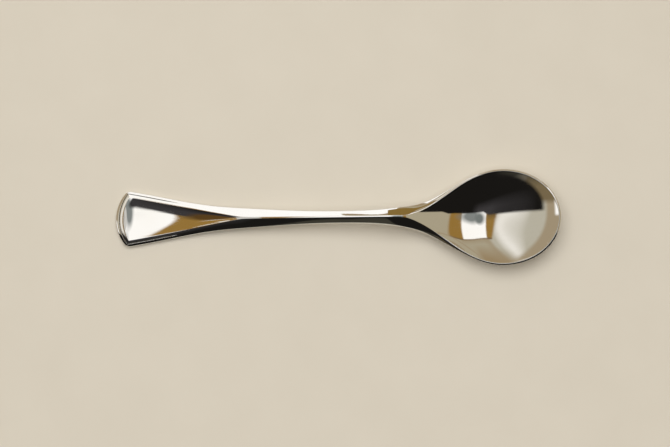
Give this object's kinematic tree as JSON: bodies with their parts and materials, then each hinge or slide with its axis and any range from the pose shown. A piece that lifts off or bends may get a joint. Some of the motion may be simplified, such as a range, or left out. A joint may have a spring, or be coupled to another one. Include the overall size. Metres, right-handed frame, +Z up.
{
  "type": "egg spoon",
  "caption": "Small spoon for boiled eggs: round-ended oval bowl, slim ridged stem and a flared handle with a scooped panel and rounded border, in mirror-polished metal.",
  "frame": {"origin": "on the table, under the middle of the spoon's length", "axes": "+X along the spoon towards the tip of the bowl, +Y across it, +Z up out of the bowl"},
  "size_m": [0.125, 0.0272, 0.0081],
  "materials": {
    "polished_metal": "mirror-polished silver-coloured metal with fine wear marks"
  },
  "bodies": {
    "root": {"bowl": "polished_metal", "stem": "polished_metal", "handle": "polished_metal"}
  },
  "joints": []
}
